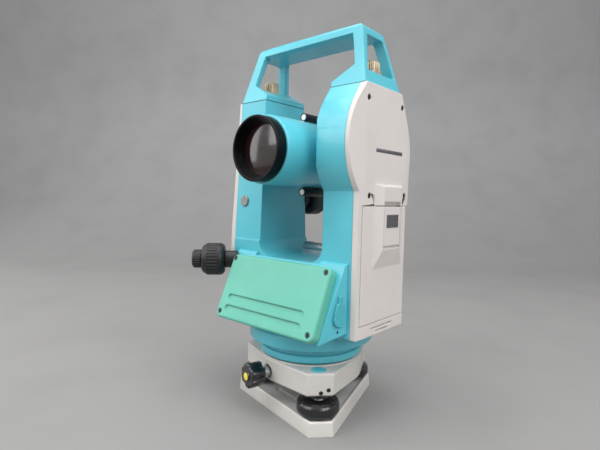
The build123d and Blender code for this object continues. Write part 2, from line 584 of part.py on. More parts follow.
# ---- telescope -----------------------------------------------------------------------------------
def make_telescope():
    start = (0, 0, TRUNNION_Z)
    axis = (0, 1, 0)
    rim = OBJECTIVE_Y + 10
    outer = [(24.3, rim), (28.6, rim), (29.1, rim + 0.8), (BARREL_R, -50), (BARREL_R, 36), (25, 46)]
    outer += [(15, 46), (15, 65.5), (12, 65.5), (12, 40), (21.5, 40), (21.5, rim + 9), (24.3, rim + 9)]
    barrel = lathe(outer, start, axis)
    boss = rod(16, (-36.6, 0, TRUNNION_Z), (1, 0, 0), 73.2)
    barrel += boss - rod(BARREL_R - 2, (0, -60, TRUNNION_Z), axis, 120)
    barrel -= rod(AXLE_R + 0.02, (-60, 0, TRUNNION_Z), (1, 0, 0), 31)
    barrel -= rod(AXLE_R + 0.02, (29, 0, TRUNNION_Z), (1, 0, 0), 31)
    PARTS["telescope_barrel"] = barrel

    front = OBJECTIVE_Y
    mouth = [(25.6, front), (OBJECTIVE_R - 0.4, front), (OBJECTIVE_R, front + 0.5), (OBJECTIVE_R, rim - 0.3)]
    mouth += [(OBJECTIVE_R - 0.3, rim), (24.2, rim), (24.2, rim + 8.5), (23.4, rim + 8.5), (23.4, rim - 1.4)]
    mouth += [(21.8, rim - 1.4), (21.8, rim - 2.6), (22.6, rim - 2.6), (22.6, rim - 4.4), (23.5, rim - 4.4)]
    mouth += [(23.5, rim - 6.2), (24.4, rim - 6.2), (24.4, rim - 8.2), (25.1, rim - 8.2), (25.1, front + 0.4)]
    PARTS["objective_ring"] = lathe(mouth, start, axis)
    PARTS["objective_lens"] = lens(23.3, rim - 1.0, rim + 4.5, 1.7, start, axis)

    left_axle = rod(AXLE_R, (-46, 0, TRUNNION_Z), (1, 0, 0), 16.9)
    right_axle = rod(AXLE_R, (29.1, 0, TRUNNION_Z), (1, 0, 0), 28)
    PARTS["trunnion_axles"] = Compound(children=[left_axle, right_axle])
    PARTS["vertical_circle"] = ring(CIRCLE_R, AXLE_R + 0.02, (50, 0, TRUNNION_Z), (1, 0, 0), 3)
    left, right = STANDARD_INNER
    PARTS["trunnion_bearings"] = Compound(children=[
        ring(12.95, AXLE_R + RUNNING, (x, 0, TRUNNION_Z), (1, 0, 0), WALL) for x in (left - WALL, right)])

    PARTS["focus_cell"] = ring(21.4, 17.5, (0, -22, TRUNNION_Z), axis, 20)
    focus = [(15 + RUNNING, 47), (21.2, 47), (22.4, 48), (22.4, 61), (21.4, 62), (15 + RUNNING, 62)]
    turned = lathe(focus, start, axis)
    PARTS["focus_ring"] = knurl(turned, (0, 49.5, TRUNNION_Z), axis, 22.9, 10, 30, 1.1)
    eye = [(8, 56), (11.9, 56), (11.9, 65.8), (15.4, 65.8), (15.4, 71.5), (13.6, 73), (13.6, EYEPIECE_Y - 1)]
    eye += [(12.6, EYEPIECE_Y), (9.6, EYEPIECE_Y), (7, EYEPIECE_Y - 3), (7, 66), (8, 66)]
    turned = lathe(eye, start, axis)
    PARTS["eyepiece_ring"] = knurl(turned, (0, 66.5, TRUNNION_Z), axis, 15.8, 4.2, 28, 0.8)


def make_sights():
    """Peep sights above and below the barrel."""
    mouth = rod(2.9, (0, -18.5, SIGHT_RISE), (0, 1, 0), 1.7)
    tube = rod(SIGHT_R, (0, -18, SIGHT_RISE), (0, 1, 0), 32) - mouth
    feet = block(-2.6, 2.6, -14.5, -3.5, 28, SIGHT_RISE) + block(-2.6, 2.6, 2, 12, 28, SIGHT_RISE)
    sight = tube + (feet - mouth)
    sight -= rod(BARREL_R + 0.01, (0, -60, 0), (0, 1, 0), 120)
    place = Pos(0, 0, TRUNNION_Z)
    PARTS["peep_sights"] = Compound(children=[place * sight, place * Rot(0, 180, 0) * sight])


# ---- coaxial clamps and fine-motion knobs ------------------------------------------------------------
def clamp_set(prefix, start, direction):
    """Knurled clamp ring with a smaller fine-motion knob through its middle."""
    clamp = [(5 + RUNNING, 16.4), (13.0, 16.4), (15.2, 18.2), (15.9, 20.8), (15.9, 33.4), (14.8, 34.8)]
    clamp += [(14.0, 36.6), (11.8, 38.6), (5 + RUNNING, 38.6)]
    turned = lathe(clamp, start, direction)
    groove_start = Plane(start, z_dir=direction) * Pos(0, 0, 22.4)
    where = groove_start.position
    PARTS[prefix + "_clamp_ring"] = knurl(turned, tuple(where), direction, 16.3, 10.4, 30, 0.9)
    knob = [(0, -4), (5, -4), (5, 38.9), (7.6, 38.9), (9.1, 39.6), (9.1, 46.4), (7.6, 48), (0, 48)]
    turned = lathe(knob, start, direction)
    where = (Plane(start, z_dir=direction) * Pos(0, 0, 40.4)).position
    PARTS[prefix + "_fine_knob"] = knurl(turned, tuple(where), direction, 9.4, 5.6, 24, 0.6)


def make_clamps():
    clamp_set("h", *H_CLAMP)
    clamp_set("v", *V_CLAMP)
    tube = [(5 + RUNNING, -3), (8.5, -3), (8.5, 16), (5 + RUNNING, 16)]
    h_sleeve = lathe(tube, *H_CLAMP)
    h_sleeve -= block(-100, 0, BODY_Y[0], 10, 80, 200)
    v_sleeve = lathe([(5 + RUNNING, 0), (8.5, 0), (8.5, 16), (5 + RUNNING, 16)], *V_CLAMP)
    v_sleeve -= along_x(left_outline(DISC_Z[1]), -80, 0)
    PARTS["clamp_sleeves"] = Compound(children=[*h_sleeve.solids(), *v_sleeve.solids()])
    for start, direction in (H_CLAMP, V_CLAMP):
        bore = rod(5.4, start, direction, 30) + rod(5.4, start, [-d for d in direction], 12)
        PARTS["yoke_frame"] -= bore
    PARTS["front_housing"] -= rod(8.52, H_CLAMP[0], H_CLAMP[1], 30) + rod(8.52, H_CLAMP[0], (1, 1, 0), 12)


# ---- inside and on top of the body ---------------------------------------------------------------------
def make_plummet():
    """Optical plummet: a tube from the left side to a prism over the vertical axis."""
    tube = [(5.5, 0), (8, 0), (8, 78), (5.5, 78)]
    PARTS["plummet_tube"] = lathe(tube, (-86, 0, PLUMMET_Z), (1, 0, 0))
    eye = [(4, 0), (9.4, 0), (10, 0.8), (10, 9), (9.2, 10), (6.5, 10), (5, 8), (4, 8)]
    turned = lathe(eye, (-86.2, 0, PLUMMET_Z), (-1, 0, 0))
    PARTS["plummet_eyepiece"] = knurl(turned, (-87.5, 0, PLUMMET_Z), (-1, 0, 0), 10.3, 7.4, 24, 0.7)


def make_plate_level():
    z = GAP_FLOOR_Z + 6
    y = 21.0
    holder = rod(5.5, (-26, y, z), (1, 0, 0), 52) + block(-26, 26, y - 5, y + 5, GAP_FLOOR_Z + 0.02, z)
    holder -= block(-17, 17, y - 3.4, y + 3.4, z + 1, z + 9)
    holder -= rod(4.2, (-21, y, z), (1, 0, 0), 42)
    ends = gap_corner_cutters()
    PARTS["plate_level"] = holder - ends
    PARTS["plate_vial"] = rod(4.1, (-20, y, z), (1, 0, 0), 40)


def gap_corner_cutters():
    """The material in the gap's rounded lower corners."""
    left, right = STANDARD_INNER
    cutters = []
    low, reach = GAP_FLOOR_Z, GAP_CORNER_R + 0.02
    for wall, turn in ((left, 1), (right, -1)):
        inside = wall + turn * reach
        corner = block(min(wall, inside), max(wall, inside), 0, 50, low, low + reach)
        centre = (wall + turn * GAP_CORNER_R, -1, low + GAP_CORNER_R)
        corner -= rod(GAP_CORNER_R - 0.02, centre, (0, 1, 0), 60)
        cutters.append(corner)
    return cutters


def make_electronics():
    board = block(-34, 34, -31, -29.4, 95, 130)
    for x in (-24, -6, 14):
        board += block(x, x + 12, -29.45, -27.6, 102, 116)
    PARTS["main_board"] = board
    plug = [(0, -3), (3.9, -3), (3.9, 0.05), (5.4, 0.05), (5.4, 0.9), (4.8, 1.6), (0, 1.6)]
    seat = (PLUG_X, front_of_left(PLUG_Z), PLUG_Z)
    lean = (0, -1, (BODY_TOP_Y - SEAM_Y[0]) / (GAP_FLOOR_Z - SEAM_Z))
    PARTS["index_plug"] = lathe(plug, seat, lean)
    PARTS["yoke_frame"] -= rod(4.0, seat, lean, 5) + rod(4.0, seat, [-d for d in lean], 3.2)


def front_of_left(z):
    """Y of the left standard's front face at a height."""
    share = (SEAM_Z - z) / (SEAM_Z - GAP_FLOOR_Z)
    return SEAM_Y[0] + share * (BODY_TOP_Y - SEAM_Y[0])


# ---- build and write ------------------------------------------------------------------------------------
def main():
    make_base()
    for name, angle in zip(LEG_NAMES, LEG_ANGLES):
        make_foot_screw(name, angle)
    make_tribrach()
    make_limb()
    make_clamp_knob()
    make_yoke()
    make_disc()
    make_right_cover()
    make_left_cover()
    make_battery()
    make_front_panel()
    make_rear_panel()
    make_case_screws()
    make_handle()
    make_handle_screws()
    make_telescope()
    make_sights()
    make_clamps()
    make_plummet()
    make_plate_level()
    make_electronics()
    os.makedirs("parts", exist_ok=True)
    for name, shape in PARTS.items():
        export_step(shape, "parts/" + name + ".step")
    print(len(PARTS), "nodes")


main()
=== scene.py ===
"""Theodolite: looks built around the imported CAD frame.

Places and sizes are in millimetres, and MM turns them into the scene's metres. Angles are in degrees.
"""
import math

import bmesh
import bpy
from mathutils import Matrix, Vector


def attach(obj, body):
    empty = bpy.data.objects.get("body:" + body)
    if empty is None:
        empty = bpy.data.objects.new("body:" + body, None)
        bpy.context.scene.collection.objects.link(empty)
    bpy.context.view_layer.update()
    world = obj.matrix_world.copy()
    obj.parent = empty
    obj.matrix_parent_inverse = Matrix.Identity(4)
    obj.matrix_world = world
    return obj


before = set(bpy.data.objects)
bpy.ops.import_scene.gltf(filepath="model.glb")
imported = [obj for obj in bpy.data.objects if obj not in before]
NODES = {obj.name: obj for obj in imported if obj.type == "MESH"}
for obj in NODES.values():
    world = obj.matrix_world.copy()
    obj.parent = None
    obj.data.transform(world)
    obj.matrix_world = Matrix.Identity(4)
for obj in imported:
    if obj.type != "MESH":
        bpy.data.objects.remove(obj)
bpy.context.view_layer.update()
MM = 0.001

# ---- places on the CAD ---------------------------------------------------------------------------
TRUNNION_Z = 236.5
SIGHT_RISE = 34.3  # the peep sights' axes, above and below the trunnion axis
SIGHT_FRONT_Y = -16.4
LEG_ANGLES = (-42.3, 77.7, 197.7)
LOBE_FACE_RADIUS = 63.5
LOCK_ANGLE = LEG_ANGLES[0] - 60
LOCK_RADIUS = 57.2
LOCK_Z = 38.0
CIRCLE_ANGLE = LEG_ANGLES[2] - 60  # the circular level
CIRCLE_RADIUS = 60
HANDLE_SEAM_Z = 289.6
HANDLE_FEET_X = ((-71.6, -37.96), (39.16, 73.8))
HANDLE_FEET_Y = (-29.07, 26.57)
COVER_FACE_X = 76.0
LATCH_FACE_X = 80.85
FLANK_CORNER = (60.5, -62)
FLANK_RUN = 27.0
FLANK_RISE = 6.5
VIAL_Y = 21
VIAL_Z = 147
PANEL_LEAN = math.radians(22.7)
PANEL_CENTRE = (-1.0, 60.1, 113.48)
# on the rear panel, from its centre, to the viewer's right, up the panel and out of it
KEY_X = (-42, -14, 14, 42)
KEY_Y = -17.0
KEY_TOP = 1.1
GLASS_TOP = -0.5

# ---- figures and marks ---------------------------------------------------------------------------
DIGITS = {"0": "abcdef", "1": "bc", "2": "abged", "3": "abgcd", "4": "fgbc", "5": "afgcd", "6": "afgedc",
          "7": "abc", "8": "abcdefg", "9": "abcfgd"}
DIGIT_WIDTH = 3.2
DIGIT_HEIGHT = 6.0
DIGIT_STROKE = 0.55
DIGIT_PITCH = 6.0
BAR_GAP = 0.3
KEY_BAR_PITCH = 2.4
KEY_BAR_WIDTH = 1.6
KEY_BAR_REACH = 1.5

# ---- stage, light and camera, in metres ----------------------------------------------------------
FLOOR_REACH = 3.0
WALL_DISTANCE = 1.6
WALL_BEND = 0.8
WALL_TOP = 3.0
STAGE_HALF_WIDTH = 4
BEND_STEPS = 24
WORLD_COLOUR = (0.97, 0.98, 1.0, 1)
WORLD_STRENGTH = 0.58
# name, position, height of the point it faces on the vertical axis, side, watts
LIGHTS = (("ceiling", (0.1, -0.3, 1.6), 0.1, 1.8, 27),
          ("front", (-0.4, -1.2, 0.9), 0.2, 1.0, 8),
          ("left", (-1.2, -0.5, 0.7), 0.2, 1.0, 5),
          ("right", (1.2, -0.2, 1.0), 0.2, 1.0, 11))
CAMERA_AT = Vector((271.06, -328.81, 196.10)) * MM
CAMERA_YAW = math.radians(41.21)
CAMERA_PITCH = math.radians(3.41)
CAMERA_ROLL = math.radians(1.26)
CAMERA_LENS = 26.6
SENSOR_WIDTH = 36


# ---- shader helpers ------------------------------------------------------------------------------
def new_material(name, colour, roughness, metallic=0.0, coat=0.0):
    """Principled material with its plain numbers on the shader's own sockets."""
    material = bpy.data.materials.new(name)
    material.use_nodes = True
    shader = material.node_tree.nodes["Principled BSDF"]
    shader.inputs["Base Color"].default_value = (*colour, 1)
    shader.inputs["Roughness"].default_value = roughness
    shader.inputs["Metallic"].default_value = metallic
    shader.inputs["Coat Weight"].default_value = coat
    shader.inputs["Coat Roughness"].default_value = 0.15
    return material, shader


def add_noise(material, scale, detail):
    """Noise in object space, with features about 1/scale metres across."""
    nodes = material.node_tree.nodes
    place = nodes.new("ShaderNodeTexCoord")
    noise = nodes.new("ShaderNodeTexNoise")
    noise.inputs["Scale"].default_value = scale
    noise.inputs["Detail"].default_value = detail
    material.node_tree.links.new(place.outputs["Object"], noise.inputs["Vector"])
    return noise.outputs["Fac"]


def remap(material, value, low, high, out_low, out_high):
    """Take a value from one range to another, and hold it there."""
    node = material.node_tree.nodes.new("ShaderNodeMapRange")
    node.inputs["From Min"].default_value = low
    node.inputs["From Max"].default_value = high
    node.inputs["To Min"].default_value = out_low
    node.inputs["To Max"].default_value = out_high
    material.node_tree.links.new(value, node.inputs["Value"])
    return node.outputs["Result"]


def mix_colour(material, factor, first, second):
    """Colour that goes from first to second with a factor; a colour may be a tuple or a socket."""
    node = material.node_tree.nodes.new("ShaderNodeMix")
    node.data_type = "RGBA"
    factor_socket, first_socket, second_socket = (node.inputs[i] for i in (0, 6, 7))
    material.node_tree.links.new(factor, factor_socket)
    for socket, colour in ((first_socket, first), (second_socket, second)):
        if isinstance(colour, tuple):
            socket.default_value = (*colour, 1)
        else:
            material.node_tree.links.new(colour, socket)
    return node.outputs[2]


def scaled(colour, factor):
    """Lighter or darker colour."""
    return tuple(min(1.0, c * factor) for c in colour)


def set_colour(material, shader, colour):
    material.node_tree.links.new(colour, shader.inputs["Base Color"])


def vary_gloss(material, shader, noise, low, high):
    """Let the roughness wander between two values with a noise."""
    material.node_tree.links.new(remap(material, noise, 0.3, 0.7, low, high), shader.inputs["Roughness"])


def round_edges(material, shader, radius):
    """Soften hard edges in the shading only, with a radius in millimetres."""
    node = material.node_tree.nodes.new("ShaderNodeBevel")
    node.samples = 6
    node.inputs["Radius"].default_value = radius * MM
    material.node_tree.links.new(node.outputs["Normal"], shader.inputs["Normal"])


def add_bump(material, shader, height, depth):
    """Bump on the shader's normal, with its depth in millimetres."""
    node = material.node_tree.nodes.new("ShaderNodeBump")
    node.inputs["Strength"].default_value = 1.0
    node.inputs["Distance"].default_value = depth * MM
    material.node_tree.links.new(height, node.inputs["Height"])
    if shader.inputs["Normal"].links:
        material.node_tree.links.new(shader.inputs["Normal"].links[0].from_socket, node.inputs["Normal"])
    material.node_tree.links.new(node.outputs["Normal"], shader.inputs["Normal"])


# ---- materials -----------------------------------------------------------------------------------
def enamel(name, colour, roughness=0.32, edge=1.2, coat=0.25):
    """Sprayed paint: slow changes of tone, fine specks, fine peel and uneven gloss."""
    material, shader = new_material(name, colour, roughness, coat=coat)
    round_edges(material, shader, edge)
    tone = remap(material, add_noise(material, 22, 3), 0.3, 0.75, 0.0, 1.0)
    blotches = mix_colour(material, tone, scaled(colour, 0.90), scaled(colour, 1.05))
    specks = remap(material, add_noise(material, 900, 2), 0.66, 0.74, 0.0, 0.35)
    set_colour(material, shader, mix_colour(material, specks, blotches, scaled(colour, 0.72)))
    vary_gloss(material, shader, add_noise(material, 60, 4), roughness - 0.06, roughness + 0.10)
    add_bump(material, shader, add_noise(material, 700, 2), 0.02)
    return material


def moulding(name, colour, roughness=0.5, texture=0.03, scale=1500, grime=0.08, coat=0.0, edge=0.5):
    """Moulded plastic or rubber with a fine spark texture."""
    material, shader = new_material(name, colour, roughness, coat=coat)
    round_edges(material, shader, edge)
    tone = remap(material, add_noise(material, 35, 4), 0.3, 0.75, 0.0, 1.0)
    set_colour(material, shader, mix_colour(material, tone, scaled(colour, 1 - grime), colour))
    vary_gloss(material, shader, add_noise(material, 90, 3), roughness - 0.07, roughness + 0.09)
    add_bump(material, shader, add_noise(material, scale, 3), texture)
    return material


def metal(name, colour, roughness=0.3, grime=0.25):
    """Machined metal with tool marks and dull spots."""
    material, shader = new_material(name, colour, roughness, metallic=1.0)
    tone = remap(material, add_noise(material, 120, 5), 0.35, 0.7, 0.0, 1.0)
    set_colour(material, shader, mix_colour(material, tone, scaled(colour, 1 - grime), colour))
    marks = add_noise(material, 500, 4)
    vary_gloss(material, shader, marks, roughness - 0.08, roughness + 0.14)
    add_bump(material, shader, marks, 0.008)
    return material


def clear_glass(name, colour, roughness=0.02):
    """Glass with faint smudges."""
    material, shader = new_material(name, colour, roughness)
    shader.inputs["Transmission Weight"].default_value = 1.0
    shader.inputs["IOR"].default_value = 1.5
    smudge = remap(material, add_noise(material, 80, 3), 0.4, 0.7, roughness, roughness + 0.05)
    material.node_tree.links.new(smudge, shader.inputs["Roughness"])
    return material


TURQUOISE = enamel("turquoise_enamel", (0.090, 0.495, 0.590), 0.34, edge=1.6, coat=0.35)
TURQUOISE_CAP = moulding("turquoise_rubber", (0.06, 0.40, 0.47), 0.6, texture=0.08, scale=900)
MINT = moulding("mint_plastic", (0.112, 0.450, 0.345), 0.44, coat=0.12, edge=1.8)
GREY_COVER = moulding("grey_plastic", (0.635, 0.595, 0.57), 0.5, grime=0.05, edge=1.2)
GREY_CAST = enamel("grey_enamel", (0.60, 0.575, 0.54), 0.42, edge=0.8)
BLACK = moulding("black_plastic", (0.006, 0.006, 0.007), 0.45, coat=0.06)
BLACK_GLOSS = moulding("polished_black", (0.005, 0.005, 0.006), 0.20, texture=0.01, coat=0.6)
BLACK_METAL = metal("black_anodised", (0.02, 0.02, 0.022), 0.35)
STEEL = metal("turned_steel", (0.55, 0.55, 0.56), 0.28)
DARK_STEEL = metal("blackened_screw", (0.07, 0.07, 0.075), 0.38)
BRASS = metal("worn_brass", (0.56, 0.47, 0.33), 0.32, grime=0.4)
NICKEL = metal("dull_nickel", (0.36, 0.35, 0.34), 0.45)
ALUMINIUM = metal("machined_aluminium", (0.6, 0.6, 0.61), 0.35)
GLASS = clear_glass("clear_glass", (0.9, 0.97, 0.93))
# painted shade: the objective lens is opaque and near-black with a faint brown, standing in for the dark
# inside of the telescope seen through the glass
LENS_PAINTED_SHADE = moulding("coated_glass", (0.018, 0.006, 0.005), 0.05, texture=0.0, grime=0.3, coat=1.0)
DISPLAY = moulding("display_glass", (0.10, 0.12, 0.10), 0.08, texture=0.0, coat=1.0)
BOARD = moulding("solder_mask", (0.02, 0.16, 0.06), 0.35)
SPRING = enamel("grey_zinc", (0.50, 0.51, 0.50), 0.45, edge=0.3)
WHITE = moulding("white_paint", (0.85, 0.85, 0.83), 0.4)
YELLOW = moulding("yellow_plastic", (0.85, 0.72, 0.05), 0.4)
DARK_GREY = moulding("dark_grey_plastic", (0.10, 0.10, 0.11), 0.5)
LIQUID = moulding("level_liquid", (0.45, 0.62, 0.10), 0.1, texture=0.0, coat=0.6)
LCD = moulding("lcd_film", (0.36, 0.42, 0.33), 0.15, texture=0.0, coat=1.0)
INK = moulding("lcd_ink", (0.03, 0.035, 0.05), 0.3, texture=0.0)

# ---- CAD nodes that stay -------------------------------------------------------------------------
# material, width of the eased edges, nodes
FINISHES = [
    (TURQUOISE, 1.6, ["yoke_frame", "handle"]),
    (TURQUOISE, 0.6, ["alidade_base", "limb_base", "front_housing", "rear_housing", "telescope_barrel"]),
    (TURQUOISE, 0.2, ["lobe_caps"]),
    (MINT, 0.4, ["front_cover"]),
    (GREY_COVER, 0.7, ["left_cover", "battery_case", "keypad_panel"]),
    (GREY_COVER, 0.25, ["battery_latch", "right_cover"]),
    (GREY_CAST, 0.7, ["base_plate", "tribrach_body"]),
    (BLACK_GLOSS, 0.3, ["foot_knob_front", "foot_knob_rear", "foot_knob_left", "clamp_knob"]),
    (BLACK, 0.3, ["focus_ring", "eyepiece_ring", "peep_sights", "h_clamp_ring", "h_fine_knob", "v_clamp_ring",
                  "v_fine_knob", "clamp_sleeves", "plummet_eyepiece", "circular_level", "key_1",
                  "key_2", "key_3", "key_4", "data_socket"]),
    (BLACK_METAL, 0.1, ["objective_ring"]),
    (STEEL, 0.1, ["foot_spindle_front", "foot_spindle_rear", "foot_spindle_left", "clamp_screw",
                  "vertical_spindle", "trunnion_axles"]),
    (DARK_STEEL, 0.1, ["case_screws"]),
    (SPRING, 0.1, ["spring_plate"]),
    (NICKEL, 0.2, ["index_plug"]),
    (BRASS, 0.15, ["handle_screw_left", "handle_screw_right", "axis_bush", "trunnion_bearings"]),
    (ALUMINIUM, 0.2, ["plate_level", "focus_cell", "plummet_tube"]),
    (GLASS, 0.05, ["circular_vial", "plate_vial", "horizontal_circle", "vertical_circle"]),
    (DISPLAY, 0.3, ["display_module"]),
    (LENS_PAINTED_SHADE, 0.05, ["objective_lens"]),
    (TURQUOISE_CAP, 0.3, ["connector_cap"]),
    (BOARD, 0.1, ["main_board"]),
]


def soften(node, width, material):
    """Give a CAD node its finish; join its facets into whole faces and ease its hard edges."""
    piece = NODES[node]
    piece.data.materials.clear()
    piece.data.materials.append(material)
    weld = piece.modifiers.new("weld", "WELD")
    weld.merge_threshold = 0.002 * MM
    flat = piece.modifiers.new("flat_faces", "DECIMATE")
    flat.decimate_type = "DISSOLVE"
    flat.angle_limit = math.radians(0.6)
    bevel = piece.modifiers.new("edges", "BEVEL")
    bevel.width = width * MM
    bevel.segments = 3
    bevel.limit_method = "ANGLE"
    bevel.angle_limit = math.radians(28)
    bevel.harden_normals = True
    bevel.use_clamp_overlap = True


for finish, ease_width, names in FINISHES:
    for name in names:
        soften(name, ease_width, finish)


# ---- places and profiles -------------------------------------------------------------------------
def polar(radius, angle, z=0.0, sideways=0.0):
    """Point at a radius on a horizontal direction, moved sideways from it."""
    a = math.radians(angle)
    out = Vector((math.cos(a), math.sin(a), 0))
    across = Vector((-math.sin(a), math.cos(a), 0))
    return out * radius + across * sideways + Vector((0, 0, z))


def facing(start, direction):
    """Place at a point, with its Z axis along a direction."""
    turn = Vector(direction).normalized().to_track_quat("Z", "Y").to_matrix().to_4x4()
    return Matrix.Translation(Vector(start) * MM) @ turn


def rounded(profile, radius, steps=4):
    """Round a profile's corners off the axis with short arcs."""
    result = []
    count = len(profile)
    for i, (x, y) in enumerate(profile):
        here = Vector((x, y))
        back = Vector(profile[i - 1]) - here
        ahead = Vector(profile[(i + 1) % count]) - here
        cut = min(radius, back.length * 0.45, ahead.length * 0.45)
        if x < 1e-6 or cut < 1e-4:
            result.append((x, y))
            continue
        start, end = here + back.normalized() * cut, here + ahead.normalized() * cut
        for k in range(steps + 1):
            t = k / steps
            p = start * (1 - t) ** 2 + here * 2 * t * (1 - t) + end * t**2
            result.append((p.x, p.y))
    return result


# ---- mesh builders -------------------------------------------------------------------------------
def add_piece(name, bm, material, body):
    """Turn a bmesh into a piece that rides on a body."""
    mesh = bpy.data.meshes.new(name)
    bmesh.ops.recalc_face_normals(bm, faces=bm.faces)
    bm.to_mesh(mesh)
    bm.free()
    mesh.shade_smooth()
    mesh.set_sharp_from_angle(angle=math.radians(32))
    mesh.materials.append(material)
    piece = bpy.data.objects.new(name, mesh)
    bpy.context.scene.collection.objects.link(piece)
    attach(piece, body)


def turn_profile(bm, profile, place, steps):
    """Add a turned solid; each profile point is a radius and a distance along the axis."""
    rings = []
    for radius, along in profile:
        if radius < 1e-6:
            rings.append([bm.verts.new(place @ Vector((0, 0, along * MM)))])
            continue
        points = []
        for i in range(steps):
            a = 2 * math.pi * i / steps
            points.append(Vector((radius * math.cos(a), radius * math.sin(a), along)) * MM)
        rings.append([bm.verts.new(place @ p) for p in points])
    for low, high in zip(rings, rings[1:] + rings[:1]):
        for i in range(steps):
            # a ring on the axis is one point, so a face there is a triangle
            lower = [low[i % len(low)], low[(i + 1) % len(low)]]
            upper = [high[(i + 1) % len(high)], high[i % len(high)]]
            unique = list(dict.fromkeys(lower + upper))
            if len(unique) > 2:
                bm.faces.new(unique)


def add_turned_piece(name, profile, places, material, body, steps=48):
    """Add one piece that is the same turned solid at each place."""
    bm = bmesh.new()
    for place in places:
        turn_profile(bm, profile, place, steps)
    add_piece(name, bm, material, body)


def add_slab(bm, low, high, place=Matrix.Identity(4), ease=0.0):
    """Add a block between two corners, with its edges eased."""
    size = Vector(high) - Vector(low)
    middle = (Vector(high) + Vector(low)) / 2
    sides = Matrix.Diagonal((*(size * MM), 1))
    made = bmesh.ops.create_cube(bm, size=1.0, matrix=place @ Matrix.Translation(middle * MM) @ sides)
    if ease > 0:
        edges = list({edge for vert in made["verts"] for edge in vert.link_edges})
        bmesh.ops.bevel(bm, geom=edges, offset=ease * MM, segments=2, affect="EDGES", profile=0.5)


# ---- small pieces that only show on the outside --------------------------------------------------
def make_lobe_screws():
    """Two socket screws in the flat face of each tribrach lobe."""
    head = [(0, 0.05), (0.9, 0.05), (1.0, 0.3), (1.6, 0.3), (1.8, 0.1), (1.8, -0.3), (0, -0.3)]
    places = []
    for angle in LEG_ANGLES:
        for sideways, z in ((0.8, 33.4), (7.3, 35.8)):
            places.append(facing(polar(LOBE_FACE_RADIUS, angle, z, sideways), polar(1, angle)))
    add_turned_piece("lobe_screws", head, places, DARK_STEEL, "tribrach", steps=32)


def make_knob_cap():
    """Yellow button in the end of the tribrach lock's star knob."""
    button = rounded([(0, 14.02), (3.4, 14.02), (3.4, 14.9), (0, 15.2)], 0.4)
    place = facing(polar(LOCK_RADIUS, LOCK_ANGLE, LOCK_Z), polar(1, LOCK_ANGLE))
    add_turned_piece("knob_cap", button, [place], YELLOW, "lock_screw")


def make_side_label():
    """Narrow metal label on the right cover: a blank dark field in a thin pale border."""
    border = bmesh.new()
    add_slab(border, (COVER_FACE_X - 0.1, -13.4, 235.7), (COVER_FACE_X + 0.1, 30.0, 238.9), ease=0.04)
    add_piece("label_border", border, ALUMINIUM, "alidade")
    field = bmesh.new()
    add_slab(field, (COVER_FACE_X, -13.1, 236.0), (COVER_FACE_X + 0.14, 29.7, 238.6), ease=0.03)
    add_piece("label_field", field, DARK_GREY, "alidade")


def make_latch_pad():
    """Dark ribbed grip over the battery latch's ribs."""
    bm = bmesh.new()
    add_slab(bm, (LATCH_FACE_X, -1.5, 173.0), (LATCH_FACE_X + 0.23, 17.8, 184.1), ease=0.05)
    for rib in range(6):
        z = 173.3 + 1.85 * rib
        add_slab(bm, (LATCH_FACE_X + 0.05, -1.3, z), (LATCH_FACE_X + 0.58, 17.6, z + 1.2), ease=0.12)
    add_piece("latch_pad", bm, DARK_GREY, "latch")


def make_gaskets():
    """Thin dark joint between the handle's feet and the standards."""
    bm = bmesh.new()
    for left, right in HANDLE_FEET_X:
        low = (left, HANDLE_FEET_Y[0], HANDLE_SEAM_Z - 0.3)
        add_slab(bm, low, (right, HANDLE_FEET_Y[1], HANDLE_SEAM_Z + 0.3), ease=0.05)
    add_piece("handle_gaskets", bm, BLACK, "alidade")


def flank_place(y, z, height=0.0):
    """Place on the front housing's right flank, at a height over it."""
    corner_x, corner_y = FLANK_CORNER
    normal = Vector((FLANK_RUN, -FLANK_RISE, 0)).normalized()
    on_flank = Vector((corner_x + FLANK_RISE * (y - corner_y) / FLANK_RUN, y, z))
    return facing(on_flank + normal * height, normal)


def make_flank_details():
    """Small screw below the rubber cap, and the two nibs that lift the cap."""
    head = [(0, 0.02), (0.45, 0.02), (0.5, 0.2), (0.9, 0.2), (1.0, 0.05), (1.0, -0.3), (0, -0.3)]
    place = flank_place(-44.7, 89.6)
    add_turned_piece("flank_screw", head, [place], DARK_STEEL, "alidade", steps=32)
    nib = rounded([(0, -0.4), (0.7, -0.4), (0.7, 0.15), (0, 0.35)], 0.15)
    places = [flank_place(y, z, 2.6) for y, z in ((-46.2, 97.6), (-41.6, 97.2))]
    add_turned_piece("cap_nibs", nib, places, TURQUOISE_CAP, "port_cap", steps=24)


def vial_place(x, rise=0.0):
    """Place on the plate level's tube, whose axis is along X."""
    return facing((x, VIAL_Y, VIAL_Z + rise), (1, 0, 0))


def circle_place(z):
    """Place on the circular level's upright axis."""
    return Matrix.Translation(polar(CIRCLE_RADIUS, CIRCLE_ANGLE, z) * MM)


